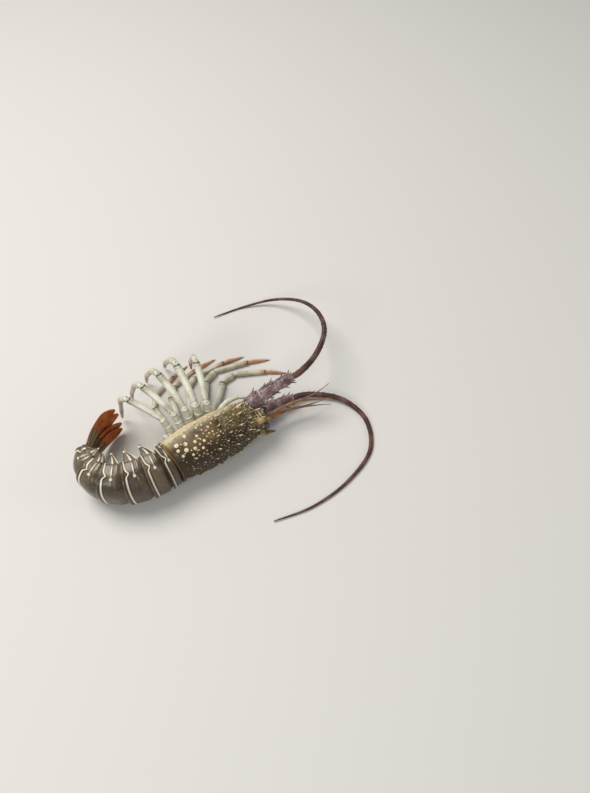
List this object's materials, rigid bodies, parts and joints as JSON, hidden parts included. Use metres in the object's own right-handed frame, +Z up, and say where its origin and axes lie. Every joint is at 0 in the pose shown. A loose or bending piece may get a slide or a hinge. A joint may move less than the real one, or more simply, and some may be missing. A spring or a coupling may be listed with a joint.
{
  "type": "spiny lobster",
  "caption": "Life-size model of a mud spiny lobster lying on its right side, with its tail curled under its chest and its legs and long antennae spread out.",
  "frame": {"origin": "the middle of the outline on the floor, under the animal", "axes": "+Z up, +X towards the head, -Y towards the animal's back and +Y towards its legs; its left side is up"},
  "size_m": [0.2762, 0.2342, 0.0624],
  "materials": {
    "carapace_shell": "thorny olive-brown shell with cream spots, half gloss",
    "tail_shell": "smooth wet olive shell with cream bands",
    "chest_shell": "cream shell with green-grey seams",
    "leg_shell": "cream shell with dark green rings and orange tips",
    "antenna_shell": "lilac shell with black-tipped thorns",
    "whip_shell": "dark purple-brown, finely ringed",
    "feeler_shell": "straw-coloured with dark rings",
    "fan_shell": "olive at the root and red-orange at the edge, finely ribbed",
    "eye_surface": "dark brown, glossy"
  },
  "bodies": {
    "root": {"carapace": "carapace_shell", "sternum": "chest_shell", "head_front": "carapace_shell", "abdomen_1": "tail_shell", "abdomen_2": "tail_shell", "abdomen_3": "tail_shell", "abdomen_4": "tail_shell", "abdomen_5": "tail_shell", "abdomen_6": "tail_shell", "telson": "fan_shell", "uropod_inner_left": "fan_shell", "uropod_inner_right": "fan_shell", "uropod_outer_left": "fan_shell", "uropod_outer_right": "fan_shell", "eye_left": "eye_surface", "antennule_left": "feeler_shell", "antenna_base_left": "antenna_shell", "antenna_arm_left": "antenna_shell", "whip_near_left": "whip_shell", "whip_far_left": "whip_shell", "maxilliped_left": "leg_shell", "leg_left_1_base": "leg_shell", "leg_left_1_merus": "leg_shell", "leg_left_1_shank": "leg_shell", "leg_left_2_base": "leg_shell", "leg_left_2_merus": "leg_shell", "leg_left_2_shank": "leg_shell", "leg_left_3_base": "leg_shell", "leg_left_3_merus": "leg_shell", "leg_left_3_shank": "leg_shell", "leg_left_4_base": "leg_shell", "leg_left_4_merus": "leg_shell", "leg_left_4_shank": "leg_shell", "leg_left_5_base": "leg_shell", "leg_left_5_merus": "leg_shell", "leg_left_5_shank": "leg_shell", "eye_right": "eye_surface", "antennule_right": "feeler_shell", "antenna_base_right": "antenna_shell", "antenna_arm_right": "antenna_shell", "whip_near_right": "whip_shell", "whip_far_right": "whip_shell", "maxilliped_right": "leg_shell", "leg_right_1_base": "leg_shell", "leg_right_1_merus": "leg_shell", "leg_right_1_shank": "leg_shell", "leg_right_2_base": "leg_shell", "leg_right_2_merus": "leg_shell", "leg_right_2_shank": "leg_shell", "leg_right_3_base": "leg_shell", "leg_right_3_merus": "leg_shell", "leg_right_3_shank": "leg_shell", "leg_right_4_base": "leg_shell", "leg_right_4_merus": "leg_shell", "leg_right_4_shank": "leg_shell", "leg_right_5_base": "leg_shell", "leg_right_5_merus": "leg_shell", "leg_right_5_shank": "leg_shell"}
  },
  "joints": []
}
